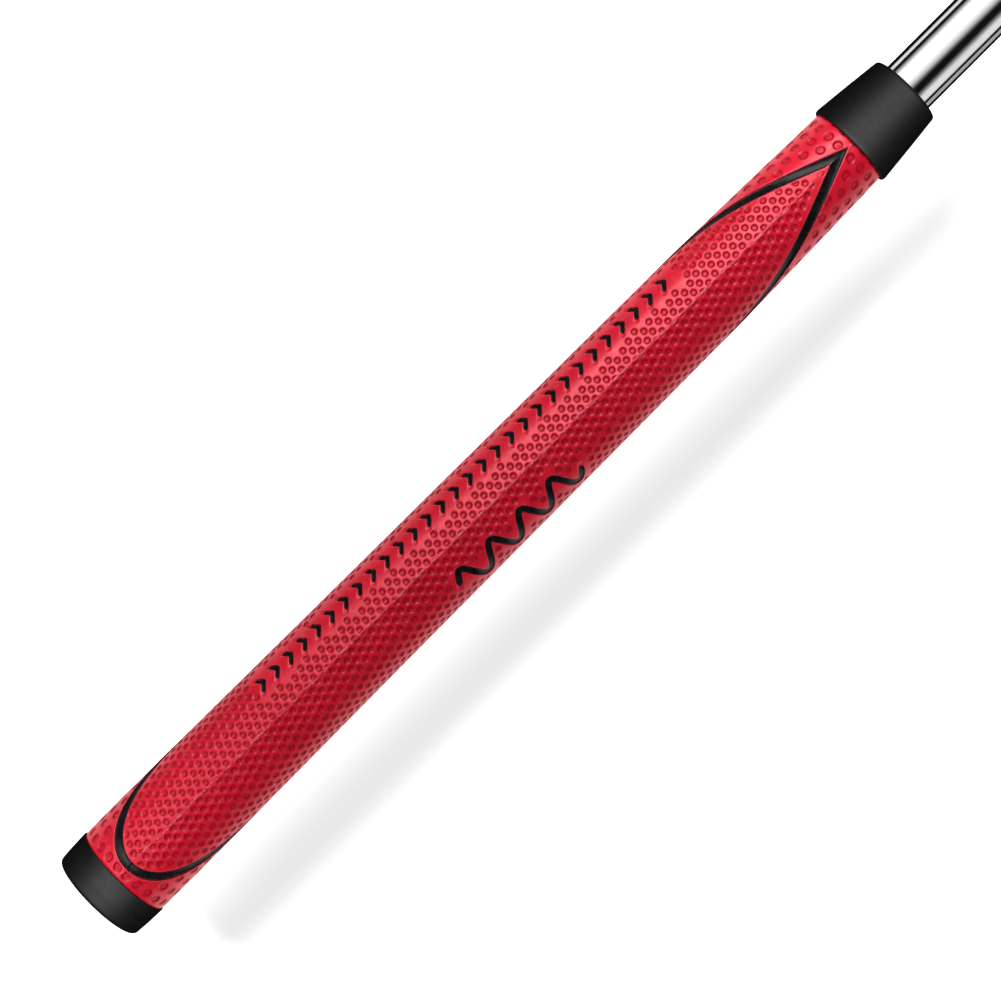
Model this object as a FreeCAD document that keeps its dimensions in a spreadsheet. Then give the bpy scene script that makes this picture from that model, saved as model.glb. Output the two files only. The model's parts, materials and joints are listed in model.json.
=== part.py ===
"""Putter grip on a cut length of steel shaft, in millimetres.

The shaft axis is the X axis. x = 0 is the outer face of the butt cap and +X runs towards the club head.
The closing seam of the wrap runs along the top ridge (+Z) and the flat thumb side faces down (-Z).

Every cross-section of the grip is the outline around five circles: one ridge circle on top, two shoulder
circles at the sides and two corner circles beside the thumb flat. Arcs and tangent lines join them, so an
inner layer is the same outline with every radius made smaller by the layers outside it.
"""
import FreeCAD, Part
import math
import os
import Sketcher

doc = FreeCAD.newDocument("PutterGrip")

# ---------------------------------------------------------------- driving dimensions
DIMENSIONS = {
    "grip_length": 266.7,  # butt face to mouth, 10.5 inches
    "skin_start": 8.8,  # where the butt cap's lip ends and the wrap begins
    "skin_end": 248.0,  # where the wrap ends under the nose collar's lip
    "skin_thickness": 0.9,  # polyurethane face of the wrap
    "felt_thickness": 0.6,  # felt backing of the wrap
    "round_gap": 0.25,  # how far a nearly round section's circles stay from the axis
    "ridge_gap": 0.45,
    "round_rise": 0.2,  # shoulder centre's height in a nearly round section
    "round_tilt": 1.0,  # facet tilt in a nearly round section, degrees
    "facet_tilt": 13.0,  # facet tilt in a fully ridged section, degrees
    "facet_ridge_radius": 2.5,
    "shoulder_ratio": 0.755,  # shoulder radius over half width in a ridged section
    "shoulder_height": 0.12,  # shoulder centre's height over half width
    "cap_floor": 5.0,  # rubber between the butt face and the end of the shaft
    "cap_spigot_length": 5.0,
    "cap_spigot_radius": 9.3,
    "cap_end_radius": 12.3,
    "cap_waist": 4.0,
    "cap_waist_radius": 12.6,
    "cap_lip_radius": 12.8,
    "cap_edge_radius": 1.2,
    "thumb_depth": 10.9,  # depth of the wrap's thumb flat under the axis
    "rest_depth": 11.2,  # the plane that the cap's flat and the collar's lip rest on, under the axis
    "vent_radius": 1.6,
    "collar_lip_radius": 11.2,
    "collar_shoulder": 257.8,
    "collar_shoulder_radius": 10.25,
    "collar_mouth_radius": 9.25,
    "mouth_edge_radius": 1.8,
    "lip_edge_radius": 0.4,
    "shaft_butt_radius": 7.37,  # 0.580 inch shaft butt
    "shaft_mouth_radius": 6.8,
    "shaft_wall": 0.7,
    "shaft_stub": 40.0,  # shaft left standing out of the mouth
    "tape_thickness": 0.25,
    "tape_end": 262.0,
    "tape_tuck": 12.0,  # tape folded back into the shaft's butt
    "seam_width": 0.5,
    "seam_proud": 0.12,
    "groove_width": 2.3,  # painted outline around the ridged panel
    "groove_depth": 0.4,
    "paint_thickness": 0.2,
    "outline_nose": 243.7,  # where the two strokes meet on the seam near the mouth
    "outline_slope": 0.4,  # how fast the nose strokes leave the seam
    "outline_bend": 4.0,  # how sharply they turn into the side strokes
    "outline_side": 18.5,  # distance of the side strokes from the ridge, along the surface
    "outline_butt": 12.9,  # where the strokes meet on the seam near the butt
    "outline_bow": 46.0,  # length of the butt end's curve
    "outline_fullness": 2.3,  # 2 is an ellipse, more is squarer
    "mark_start": 63.0,  # row of generic chevrons on one shoulder
    "mark_pitch": 4.5,
    "mark_count": 30,
    "mark_near": 6.6,  # the row's edges, measured from the ridge along the surface
    "mark_far": 10.6,
    "mark_lean": 1.7,
    "mark_width": 1.25,
    "wave_start": 112.5,  # plain wave on the other shoulder
    "wave_period": 9.8,
    "wave_count": 4,
    "wave_side": 9.0,
    "wave_height": 3.2,
    "wave_width": 1.7,
}

# Cross-sections of the wrap: station along X, half width, how ridged the top is (0 nearly round, 1 ridged),
# radius beside the thumb flat, and depth of the underside, a little under the thumb flat that is cut from it.
SKIN_STATIONS = [
    (8.8, 12.45, 0.0, 10.0, 10.92),
    (18.0, 12.58, 0.45, 8.2, 10.92),
    (34.0, 12.42, 1.0, 5.4, 10.92),
    (85.0, 12.0, 1.0, 5.3, 10.92),
    (203.0, 11.3, 1.0, 5.0, 10.92),
    (228.0, 10.75, 0.8, 6.2, 10.92),
    (248.0, 10.22, 0.1, 9.5, 10.3),
]
STATION_FIELDS = ("station", "half_width", "ridged", "corner", "depth")

ARC_SAMPLES = 24  # surface points along each edge of a section, for strokes laid on the surface
NOSE_LENGTH = 100.0  # length of the outline's curved nose
NOSE_STEPS = 25
SIDE_STEPS = 8
BOW_STEPS = 16
WAVE_STEPS = 16  # to a period
CUTTER_RISE = 0.6  # how far a groove's cutter stands out of the surface
CUTTER_START = 0.1  # how far from the seam's middle a groove's cutter starts, inside the seam's gap
PAINT_CLEARANCE = 0.01  # paint ends this far from the seam bead
FLATNESS = 1e-3  # an edge this flat lies in one plane
ON_AXIS = 1e-9  # a coordinate this small is drawn on the sketch's axis
OVERSHOOT = 1.0  # how far a cut reaches past the body
SEAM_GAP_SLACK = (0.8, 1.3)  # the cut seam's volume over that of a plain strip


def make_sheet():
    """The spreadsheet of driving dimensions: one plain number a row, named by its alias."""
    sheet = doc.addObject("Spreadsheet::Sheet", "Dims")
    rows = dict(DIMENSIONS)
    for number, values in enumerate(SKIN_STATIONS):
        for field, value in zip(STATION_FIELDS, values):
            rows[f"{field}_{number}"] = value
    for row, (name, value) in enumerate(rows.items(), start=1):
        sheet.set(f"A{row}", name)
        sheet.set(f"B{row}", str(value))
        sheet.setAlias(f"B{row}", name)
    doc.recompute()
    return sheet


sheet = make_sheet()


def dim(name):
    """A cell of the sheet, as an expression."""
    return f"Dims.{name}"


def value_of(expression):
    return float(sheet.evalExpression(expression))


# ---------------------------------------------------------------- bodies, sketches and features
def new_body(label):
    body = doc.addObject("PartDesign::Body", label)
    body.Label = label
    body.Placement = FreeCAD.Placement()
    return body


def new_sketch(body, name, role, offset=None):
    """A sketch on one of the body's origin planes, moved along the plane's normal by an expression."""
    sketch = body.newObject("Sketcher::SketchObject", name)
    plane = next(f for f in body.Origin.OriginFeatures if f.Role == role)
    sketch.AttachmentSupport = [(plane, "")]
    sketch.MapMode = "FlatFace"
    if offset is not None:
        sketch.setExpression("AttachmentOffset.Base.z", offset)
    return sketch


def bind(sketch, constraint, expression):
    """Adds a dimension to the sketch and drives it from the sheet."""
    index = sketch.addConstraint(constraint)
    sketch.setExpression(f"Constraints[{index}]", expression)
    return index


def bind_point(sketch, edge, point, across, up):
    """Places a point of an edge by its coordinates in the sketch, given as expressions."""
    for kind, expression in (("DistanceX", across), ("DistanceY", up)):
        value = value_of(expression)
        if abs(value) < ON_AXIS:
            axis = -2 if kind == "DistanceX" else -1
            sketch.addConstraint(Sketcher.Constraint("PointOnObject", edge, point, axis))
        elif value > 0:
            bind(sketch, Sketcher.Constraint(kind, -1, 1, edge, point, value), expression)
        else:
            bind(sketch, Sketcher.Constraint(kind, edge, point, -1, 1, -value), f"-({expression})")


def polygon_sketch(body, name, role, points, offset=None):
    """A closed outline of straight edges through points given as pairs of expressions."""
    sketch = new_sketch(body, name, role, offset)
    corners = [FreeCAD.Vector(value_of(a), value_of(b), 0) for a, b in points]
    count = len(corners)
    for n in range(count):
        sketch.addGeometry(Part.LineSegment(corners[n], corners[(n + 1) % count]), False)
    for n in range(count):
        sketch.addConstraint(Sketcher.Constraint("Coincident", n, 2, (n + 1) % count, 1))
    for n, (across, up) in enumerate(points):
        bind_point(sketch, n, 1, across, up)
    return sketch


def revolve(body, name, kind, points):
    """Turns an outline in the XZ plane about the shaft axis, adding (Revolution) or cutting (Groove)."""
    outline = polygon_sketch(body, name + "_outline", "XZ_Plane", points)
    doc.recompute()
    feature = body.newObject(f"PartDesign::{kind}", name)
    feature.Profile = (outline, [""])
    feature.ReferenceAxis = (outline, ["H_Axis"])
    feature.Angle = 360
    doc.recompute()
    return feature


# ---------------------------------------------------------------- the five-circle section
def section_circles(number):
    """The ridge, shoulder and corner circles of a section as (across, up, radius) expressions."""
    half = dim(f"half_width_{number}")
    ridged = dim(f"ridged_{number}")
    corner = dim(f"corner_{number}")
    depth = dim(f"depth_{number}")

    def mix(round_value, ridged_value):
        return f"((1 - {ridged}) * ({round_value}) + {ridged} * ({ridged_value}))"

    tilt = f"({mix(dim('round_tilt'), dim('facet_tilt'))} * 1 deg)"
    shoulder = mix(f"{half} - {dim('round_gap')}", f"{half} * {dim('shoulder_ratio')}")
    ridge = mix(f"{half} - {dim('ridge_gap')}", dim("facet_ridge_radius"))
    rise = mix(dim("round_rise"), f"{half} * {dim('shoulder_height')}")
    run = f"({half} - {shoulder})"
    crest = f"({rise} + ({shoulder} - {ridge} + {run} * sin({tilt})) / cos({tilt}))"
    return {
        "ridge": ("0", crest, ridge),
        "shoulder": (run, rise, shoulder),
        "corner": (f"({half} - {corner})", f"({corner} - {depth})", corner),
        "tilt": tilt,
    }


def section_outline(number, inset="0"):
    """Centres, radii and end angles of the section's five arcs, anticlockwise from the ridge, as numbers."""
    circles = section_circles(number)
    tilt = math.radians(value_of(circles["tilt"]))
    turn = math.pi / 2
    order = (
        ("ridge", 1, turn - tilt, turn + tilt),
        ("shoulder", -1, turn + tilt, 2 * turn),
        ("corner", -1, 2 * turn, 3 * turn),
        ("corner", 1, 3 * turn, 4 * turn),
        ("shoulder", 1, 0.0, turn - tilt),
    )
    arcs = []
    for name, side, start, end in order:
        across, up, radius = (value_of(e) for e in circles[name])
        arcs.append((FreeCAD.Vector(side * across, up, 0), radius - value_of(inset), start, end))
    return arcs


def section_sketch(body, name, number, inset="0"):
    """Draws one section on the YZ plane at its station, fully driven by the sheet."""
    sketch = new_sketch(body, name, "YZ_Plane", dim(f"station_{number}"))
    arcs = section_outline(number, inset)
    ends = []
    for centre, radius, start, end in arcs:
        circle = Part.Circle(centre, FreeCAD.Vector(0, 0, 1), radius)
        sketch.addGeometry(Part.ArcOfCircle(circle, start, end), False)
        ends.append((circle.value(start), circle.value(end)))
    count = len(arcs)
    for n in range(count):
        sketch.addGeometry(Part.LineSegment(ends[n][1], ends[(n + 1) % count][0]), False)
    for n in range(count):
        sketch.addConstraint(Sketcher.Constraint("Tangent", n, 2, count + n, 1))
        sketch.addConstraint(Sketcher.Constraint("Tangent", count + n, 2, (n + 1) % count, 1))
    circles = section_circles(number)
    for n, (circle, side) in enumerate(
        (("ridge", 1), ("shoulder", -1), ("corner", -1), ("corner", 1), ("shoulder", 1))
    ):
        across, up, radius = circles[circle]
        bind_point(sketch, n, 3, across if side > 0 else f"-({across})", up)
        inner = f"{radius} - {inset}"
        bind(sketch, Sketcher.Constraint("Radius", n, value_of(inner)), inner)
    return sketch


def loft(body, name, kind, inset="0"):
    """A ruled loft through every section of the grip, adding or cutting."""
    sections = [
        section_sketch(body, f"{name}_section_{number}", number, inset)
        for number in range(len(SKIN_STATIONS))
    ]
    doc.recompute()
    feature = body.newObject(f"PartDesign::{kind}", name)
    feature.Profile = (sections[0], [""])
    feature.Sections = [(s, [""]) for s in sections[1:]]
    feature.Ruled = True
    doc.recompute()
    return feature


def round_end(body, name, radius, station):
    """Rounds the edge that lies in the plane x = station."""
    base = body.Tip
    names = []
    for n, edge in enumerate(base.Shape.Edges, start=1):
        box = edge.BoundBox
        if abs(box.XMin - station) < FLATNESS and abs(box.XMax - station) < FLATNESS:
            names.append(f"Edge{n}")
    fillet = body.newObject("PartDesign::Fillet", name)
    fillet.Base = (base, names)
    fillet.setExpression("Radius", radius)
    doc.recompute()
    return fillet


# ---------------------------------------------------------------- radii along the shaft
def shaft_radius(station):
    """Outside radius of the shaft, which tapers from its butt to the mouth, as an expression."""
    share = f"(({station} - {dim('cap_floor')}) / ({dim('grip_length')} - {dim('cap_floor')}))"
    taper = f"({dim('shaft_mouth_radius')} - {dim('shaft_butt_radius')})"
    return f"({dim('shaft_butt_radius')} + {taper} * {share})"


def tape_radius(station):
    return f"({shaft_radius(station)} + {dim('tape_thickness')})"


def stub_end():
    return f"({dim('grip_length')} + {dim('shaft_stub')})"


def shaft_start():
    """The shaft's butt end, one layer of folded tape away from the cap's floor."""
    return f"({dim('cap_floor')} + {dim('tape_thickness')})"


# ---------------------------------------------------------------- sub-parts
def make_shaft():
    """The cut length of tapered steel tube that the grip sits on."""
    body = new_body("shaft_stub")
    start = shaft_start()
    mouth = dim("grip_length")
    end = stub_end()
    wall = dim("shaft_wall")
    outline = [
        (start, f"{shaft_radius(start)} - {wall}"),
        (mouth, f"{shaft_radius(mouth)} - {wall}"),
        (end, f"{shaft_radius(mouth)} - {wall}"),
        (end, shaft_radius(mouth)),
        (mouth, shaft_radius(mouth)),
        (start, shaft_radius(start)),
    ]
    revolve(body, "tube", "Revolution", outline)
    return body


def make_tape():
    """Double-sided grip tape around the shaft, folded over its butt end and tucked inside."""
    body = new_body("grip_tape")
    floor = dim("cap_floor")
    start = shaft_start()
    tuck = f"({start} + {dim('tape_tuck')})"
    end = dim("tape_end")
    wall = dim("shaft_wall")
    layer = dim("tape_thickness")
    outline = [
        (floor, f"{shaft_radius(start)} - {wall} - {layer}"),
        (tuck, f"{shaft_radius(tuck)} - {wall} - {layer}"),
        (tuck, f"{shaft_radius(tuck)} - {wall}"),
        (start, f"{shaft_radius(start)} - {wall}"),
        (start, shaft_radius(start)),
        (end, shaft_radius(end)),
        (end, tape_radius(end)),
        (floor, tape_radius(floor)),
    ]
    revolve(body, "folded_tape", "Revolution", outline)
    return body


def make_butt_cap():
    """Rubber cap: a lipped end with a shaft socket, a spigot that plugs the sleeve and a vent hole."""
    body = new_body("butt_cap")
    lip = dim("skin_start")
    form = [
        ("0", "0"),
        (lip, "0"),
        (lip, dim("cap_lip_radius")),
        (dim("cap_waist"), dim("cap_waist_radius")),
        ("0", dim("cap_end_radius")),
    ]
    revolve(body, "cap_form", "Revolution", form)
    round_end(body, "butt_edge", dim("cap_edge_radius"), 0.0)
    round_end(body, "lip_edge", dim("lip_edge_radius"), value_of(lip))
    spigot_end = f"({lip} + {dim('cap_spigot_length')})"
    floor = dim("cap_floor")
    spigot = [
        (floor, "0"),
        (spigot_end, "0"),
        (spigot_end, dim("cap_spigot_radius")),
        (floor, dim("cap_spigot_radius")),
    ]
    revolve(body, "spigot", "Revolution", spigot)
    socket = [
        (floor, "0"),
        (spigot_end, "0"),
        (spigot_end, tape_radius(spigot_end)),
        (floor, tape_radius(floor)),
    ]
    revolve(body, "shaft_socket", "Groove", socket)
    vent = [("0", "0"), (floor, "0"), (floor, dim("vent_radius")), ("0", dim("vent_radius"))]
    revolve(body, "vent_hole", "Groove", vent)
    cut_thumb_flat(body, dim("rest_depth"), lip)
    return body


def cut_thumb_flat(body, depth, end):
    """Takes the underside off a body from the butt face to x = end, down to a flat at the given depth."""
    half = dim("cap_lip_radius")
    low = f"(-{half} - {OVERSHOOT})"
    flat = f"(-{depth})"
    strip = [(f"-{half}", low), (half, low), (half, flat), (f"-{half}", flat)]
    outline = polygon_sketch(body, "thumb_flat_outline", "YZ_Plane", strip)
    doc.recompute()
    before = body.Tip.Shape.Volume
    pocket = body.newObject("PartDesign::Pocket", "thumb_flat")
    pocket.Profile = (outline, [""])
    pocket.Type = "Length"
    pocket.setExpression("Length", end)
    pocket.Reversed = True
    doc.recompute()
    if body.Tip.Shape.Volume >= before:
        raise RuntimeError(f"the thumb flat of {body.Label} removed nothing")


def make_nose_collar():
    """Tapered rubber collar with a lip over the wrap's edge and a rounded mouth around the shaft."""
    body = new_body("nose_collar")
    start = dim("skin_end")
    end = dim("grip_length")
    form = [
        (start, "0"),
        (end, "0"),
        (end, dim("collar_mouth_radius")),
        (dim("collar_shoulder"), dim("collar_shoulder_radius")),
        (start, dim("collar_lip_radius")),
    ]
    revolve(body, "collar_form", "Revolution", form)
    round_end(body, "mouth_edge", dim("mouth_edge_radius"), value_of(end))
    round_end(body, "lip_edge", dim("lip_edge_radius"), value_of(start))
    step = dim("tape_end")
    bore = [
        (start, "0"),
        (end, "0"),
        (end, shaft_radius(end)),
        (step, shaft_radius(step)),
        (step, tape_radius(step)),
        (start, tape_radius(start)),
    ]
    revolve(body, "shaft_bore", "Groove", bore)
    return body


def make_inner_sleeve():
    """Foam-rubber core that gives the grip its section and holds the taped shaft."""
    body = new_body("inner_sleeve")
    inset = f"({dim('skin_thickness')} + {dim('felt_thickness')})"
    loft(body, "sleeve_form", "AdditiveLoft", inset)
    start = dim("skin_start")
    step = f"({start} + {dim('cap_spigot_length')})"
    end = dim("skin_end")
    bore = [
        (start, "0"),
        (end, "0"),
        (end, tape_radius(end)),
        (step, tape_radius(step)),
        (step, dim("cap_spigot_radius")),
        (start, dim("cap_spigot_radius")),
    ]
    revolve(body, "tapered_bore", "Groove", bore)
    return body


def make_felt():
    """Felt backing of the wrap, between the core and the polyurethane face."""
    body = new_body("felt_backing")
    loft(body, "felt_form", "AdditiveLoft", dim("skin_thickness"))
    inset = f"({dim('skin_thickness')} + {dim('felt_thickness')})"
    loft(body, "felt_hollow", "SubtractiveLoft", inset)
    return body


def make_skin_blank():
    """The wrap before its grooves are pressed in: a shell with its two edges meeting on the ridge."""
    body = new_body("skin_blank")
    loft(body, "skin_form", "AdditiveLoft")
    loft(body, "skin_hollow", "SubtractiveLoft", dim("skin_thickness"))
    cut_thumb_flat(body, dim("thumb_depth"), dim("skin_end"))
    start = f"({dim('skin_start')} - {OVERSHOOT})"
    end = f"({dim('skin_end')} + {OVERSHOOT})"
    half = f"({dim('seam_width')} / 2)"
    strip = [(start, f"-{half}"), (end, f"-{half}"), (end, half), (start, half)]
    slot = polygon_sketch(body, "seam_strip", "XY_Plane", strip)
    doc.recompute()
    before = body.Tip.Shape.Volume
    pocket = body.newObject("PartDesign::Pocket", "seam_gap")
    pocket.Profile = (slot, [""])
    pocket.Type = "Length"
    pocket.setExpression("Length", f"{dim('half_width_1')} * 2")
    pocket.Reversed = True
    doc.recompute()
    removed = before - body.Tip.Shape.Volume
    expected = value_of(f"{dim('seam_width')} * {dim('skin_thickness')} * ({end} - {start})")
    least, most = SEAM_GAP_SLACK
    if not least * expected < removed < most * expected:
        raise RuntimeError(f"the seam gap removed {removed:.1f} mm3, not about {expected:.1f}")
    return body


def make_seam_bead():
    """Sealant that fills the gap between the wrap's edges and stands slightly proud."""
    body = new_body("seam_bead")
    half = f"({dim('seam_width')} / 2)"
    sections = []
    for number in range(len(SKIN_STATIONS)):
        circles = section_circles(number)
        top = f"({circles['ridge'][1]} + {circles['ridge'][2]})"
        low = f"({top} - {dim('skin_thickness')})"
        high = f"({top} + {dim('seam_proud')})"
        corners = [(f"-{half}", low), (half, low), (half, high), (f"-{half}", high)]
        station = dim(f"station_{number}")
        sections.append(polygon_sketch(body, f"bead_section_{number}", "YZ_Plane", corners, station))
    doc.recompute()
    bead = body.newObject("PartDesign::AdditiveLoft", "bead")
    bead.Profile = (sections[0], [""])
    bead.Sections = [(s, [""]) for s in sections[1:]]
    bead.Ruled = True
    doc.recompute()
    return body


# ---------------------------------------------------------------- strokes laid on the wrap's surface
def edge_points(number):
    """Points around a section in a fixed order: the same share of the same edge at every station."""
    arcs = section_outline(number)
    points = []
    for n, (centre, radius, start, end) in enumerate(arcs):
        for k in range(ARC_SAMPLES):
            angle = start + (end - start) * k / ARC_SAMPLES
            points.append(centre + FreeCAD.Vector(math.cos(angle), math.sin(angle), 0) * radius)
        next_centre, next_radius, next_start, _ = arcs[(n + 1) % len(arcs)]
        tip = centre + FreeCAD.Vector(math.cos(end), math.sin(end), 0) * radius
        far = next_centre + FreeCAD.Vector(math.cos(next_start), math.sin(next_start), 0) * next_radius
        for k in range(ARC_SAMPLES):
            points.append(tip + (far - tip) * (k / ARC_SAMPLES))
    return points


STATION_POINTS = [edge_points(number) for number in range(len(SKIN_STATIONS))]
RIDGE_INDEX = ARC_SAMPLES // 2  # the middle of the ridge arc, on the seam


def section_at(x):
    """The wrap's section at any x, on the ruled surface between two stations."""
    last = len(SKIN_STATIONS) - 2
    n = max((k for k in range(last + 1) if SKIN_STATIONS[k][0] <= x), default=0)
    share = (x - SKIN_STATIONS[n][0]) / (SKIN_STATIONS[n + 1][0] - SKIN_STATIONS[n][0])
    return [a + (b - a) * share for a, b in zip(STATION_POINTS[n], STATION_POINTS[n + 1])]


def surface_point(x, girth):
    """The point and outward normal at a distance from the ridge along the surface (+ towards +Y)."""
    section = section_at(x)
    count = len(section)
    step = -1 if girth >= 0 else 1
    left = abs(girth)
    n = RIDGE_INDEX
    while True:
        here = section[n % count]
        ahead = section[(n + step) % count]
        length = (ahead - here).Length
        if length >= left:
            break
        left -= length
        n += step
    along = (ahead - here).normalize()
    spot = here + along * left
    outward = FreeCAD.Vector(along.y, -along.x, 0) * (-1 if step < 0 else 1)
    return FreeCAD.Vector(x, spot.x, spot.y), FreeCAD.Vector(0, outward.x, outward.y)


def triangle(a, b, c):
    return Part.Face(Part.makePolygon([a, b, c, a]))


def stroke(path, width, low, high, mitred=False):
    """A solid stroke along a path of (x, girth) points, between two heights over the surface.

    A mitred stroke's ends are cut along the seam, so that two strokes can meet there.
    """
    rings = []
    last = len(path) - 1
    for n, (x, girth) in enumerate(path):
        x0, g0 = path[max(n - 1, 0)]
        x1, g1 = path[min(n + 1, last)]
        length = math.hypot(x1 - x0, g1 - g0)
        aside_x = (g0 - g1) / length
        aside_g = (x1 - x0) / length
        if mitred and n in (0, last):
            aside_x, aside_g = 1 / aside_x, 0.0
        corners = []
        for side, height in ((-1, low), (1, low), (1, high), (-1, high)):
            reach = side * width / 2
            spot, outward = surface_point(x + aside_x * reach, girth + aside_g * reach)
            corners.append(spot + outward * height)
        rings.append(corners)
    faces = [triangle(rings[0][a], rings[0][b], rings[0][c]) for a, b, c in ((0, 2, 1), (0, 3, 2))]
    faces += [triangle(rings[-1][a], rings[-1][b], rings[-1][c]) for a, b, c in ((0, 1, 2), (0, 2, 3))]
    for here, ahead in zip(rings, rings[1:]):
        for a in range(4):
            b = (a + 1) % 4
            faces.append(triangle(here[a], here[b], ahead[b]))
            faces.append(triangle(here[a], ahead[b], ahead[a]))
    shell = Part.makeShell(faces)
    shell.sewShape()
    solid = Part.makeSolid(shell)
    if solid.Volume < 0:
        solid.reverse()
    return solid


def outline_girth(x):
    """Half width of the outlined panel at x: nose strokes that bend into the sides, and a bowed butt end."""
    side = value_of(dim("outline_side"))
    bend = value_of(dim("outline_bend"))
    straight = value_of(dim("outline_slope")) * (value_of(dim("outline_nose")) - x)
    nose = straight / (1 + (straight / side) ** bend) ** (1 / bend)
    left = max(0.0, 1 - (x - value_of(dim("outline_butt"))) / value_of(dim("outline_bow")))
    return min(nose, side * math.sqrt(1 - left ** value_of(dim("outline_fullness"))))


def outline_path(side, from_seam):
    """One stroke of the outline, from the seam near the mouth round the side to the butt."""
    butt = value_of(dim("outline_butt"))
    bow = value_of(dim("outline_bow"))
    start = value_of(dim("outline_nose")) - from_seam / value_of(dim("outline_slope"))
    turn = start - NOSE_LENGTH
    seam_share = (from_seam / value_of(dim("outline_side"))) ** 2
    left = (1 - seam_share) ** (1 / value_of(dim("outline_fullness")))
    stations = [start - NOSE_LENGTH * k / NOSE_STEPS for k in range(NOSE_STEPS)]
    stations += [turn + (butt + bow - turn) * k / SIDE_STEPS for k in range(SIDE_STEPS)]
    angles = [math.pi / 2 * k / BOW_STEPS for k in range(BOW_STEPS + 1)]
    stations += [butt + bow * (1 - left * math.sin(angle)) for angle in angles]
    return [(x, side * outline_girth(x)) for x in stations]


def chevron_paths():
    """The chevrons' bent strokes, pointing to the mouth, on the +Y shoulder."""
    near = value_of(dim("mark_near"))
    far = value_of(dim("mark_far"))
    lean = value_of(dim("mark_lean"))
    paths = []
    for n in range(int(value_of(dim("mark_count")))):
        x = value_of(dim("mark_start")) + n * value_of(dim("mark_pitch"))
        paths.append([(x, far), (x + lean, (near + far) / 2), (x, near)])
    return paths


def wave_path():
    start = value_of(dim("wave_start"))
    period = value_of(dim("wave_period"))
    count = int(value_of(dim("wave_count")))
    middle = value_of(dim("wave_side"))
    height = value_of(dim("wave_height"))
    steps = WAVE_STEPS * count
    return [
        (start + period * count * k / steps, -middle + height * math.sin(2 * math.pi * count * k / steps))
        for k in range(steps + 1)
    ]


def add_feature(label, shape):
    feature = doc.addObject("Part::Feature", label)
    feature.Label = label
    feature.Shape = shape
    feature.Placement = FreeCAD.Placement()
    return feature


def make_strokes():
    """The paint in each groove, and the cutters that press the grooves into the wrap."""
    groove = value_of(dim("groove_width"))
    mark = value_of(dim("mark_width"))
    wave = value_of(dim("wave_width"))
    floor = -value_of(dim("groove_depth"))
    top = floor + value_of(dim("paint_thickness"))
    at_bead = value_of(dim("seam_width")) / 2 + PAINT_CLEARANCE
    families = {
        "outline_paint_left": ([outline_path(1, at_bead)], [outline_path(1, CUTTER_START)], groove, True),
        "outline_paint_right": ([outline_path(-1, at_bead)], [outline_path(-1, CUTTER_START)], groove, True),
        "chevron_paint": (chevron_paths(), chevron_paths(), mark, False),
        "wave_paint": ([wave_path()], [wave_path()], wave, False),
    }
    painted = []
    cutters = []
    for label, (paint_paths, cutter_paths, width, mitred) in families.items():
        solids = [stroke(path, width, floor, top, mitred) for path in paint_paths]
        painted.append(add_feature(label, Part.makeCompound(solids)))
        cutters += [stroke(path, width, floor, CUTTER_RISE, mitred) for path in cutter_paths]
    return painted, cutters


def make_outer_skin(cutters):
    """The wrap with its painted grooves pressed in."""
    blank = make_skin_blank()
    tools = add_feature("groove_tools", Part.makeCompound(cutters))
    skin = doc.addObject("Part::Cut", "outer_skin")
    skin.Label = "outer_skin"
    skin.Base = blank
    skin.Tool = tools
    skin.Placement = FreeCAD.Placement()
    doc.recompute()
    return skin


# ---------------------------------------------------------------- build, check and write
def check(parts):
    for item in doc.Objects:
        if "Invalid" in item.State or "Error" in item.State:
            raise RuntimeError(f"{item.Label} failed: {item.State}")
    for item in parts:
        if item.Shape.isNull() or not item.Shape.isValid():
            raise RuntimeError(f"{item.Label} has no valid shape")
        print(f"{item.Label:22s} {len(item.Shape.Solids)} solids {item.Shape.Volume:10.1f} mm3")


def main():
    painted, cutters = make_strokes()
    parts = [
        make_shaft(),
        make_tape(),
        make_butt_cap(),
        make_nose_collar(),
        make_inner_sleeve(),
        make_felt(),
        make_outer_skin(cutters),
        make_seam_bead(),
    ]
    parts += painted
    doc.recompute()
    check(parts)
    os.makedirs("parts", exist_ok=True)
    for item in parts:
        item.Shape.exportStep(f"parts/{item.Label}.step")


main()
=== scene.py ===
import json
import math

import bpy
import numpy as np
from mathutils import Matrix, Vector, kdtree


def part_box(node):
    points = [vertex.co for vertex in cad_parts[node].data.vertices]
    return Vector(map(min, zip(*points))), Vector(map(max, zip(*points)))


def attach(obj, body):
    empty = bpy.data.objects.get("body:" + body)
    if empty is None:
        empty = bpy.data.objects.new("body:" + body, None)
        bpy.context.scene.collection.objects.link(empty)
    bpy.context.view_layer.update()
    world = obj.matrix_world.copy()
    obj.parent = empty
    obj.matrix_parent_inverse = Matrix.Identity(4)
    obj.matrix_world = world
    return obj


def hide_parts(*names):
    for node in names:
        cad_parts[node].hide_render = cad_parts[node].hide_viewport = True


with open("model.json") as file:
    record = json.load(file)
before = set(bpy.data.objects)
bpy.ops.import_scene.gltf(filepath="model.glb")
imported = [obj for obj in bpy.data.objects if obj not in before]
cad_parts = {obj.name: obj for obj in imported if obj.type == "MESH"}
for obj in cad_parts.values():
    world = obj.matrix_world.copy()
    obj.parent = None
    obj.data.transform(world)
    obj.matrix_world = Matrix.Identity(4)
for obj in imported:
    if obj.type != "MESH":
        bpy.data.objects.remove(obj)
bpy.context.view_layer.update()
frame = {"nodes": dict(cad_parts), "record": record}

# Lengths are in millimetres until a mesh, light or camera is made. X runs along the shaft axis from the
# butt to the mouth, Z out of the seam's ridge. The girth of a point is its distance from the ridge along the
# surface, positive towards +Y.
MM = 0.001

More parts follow.
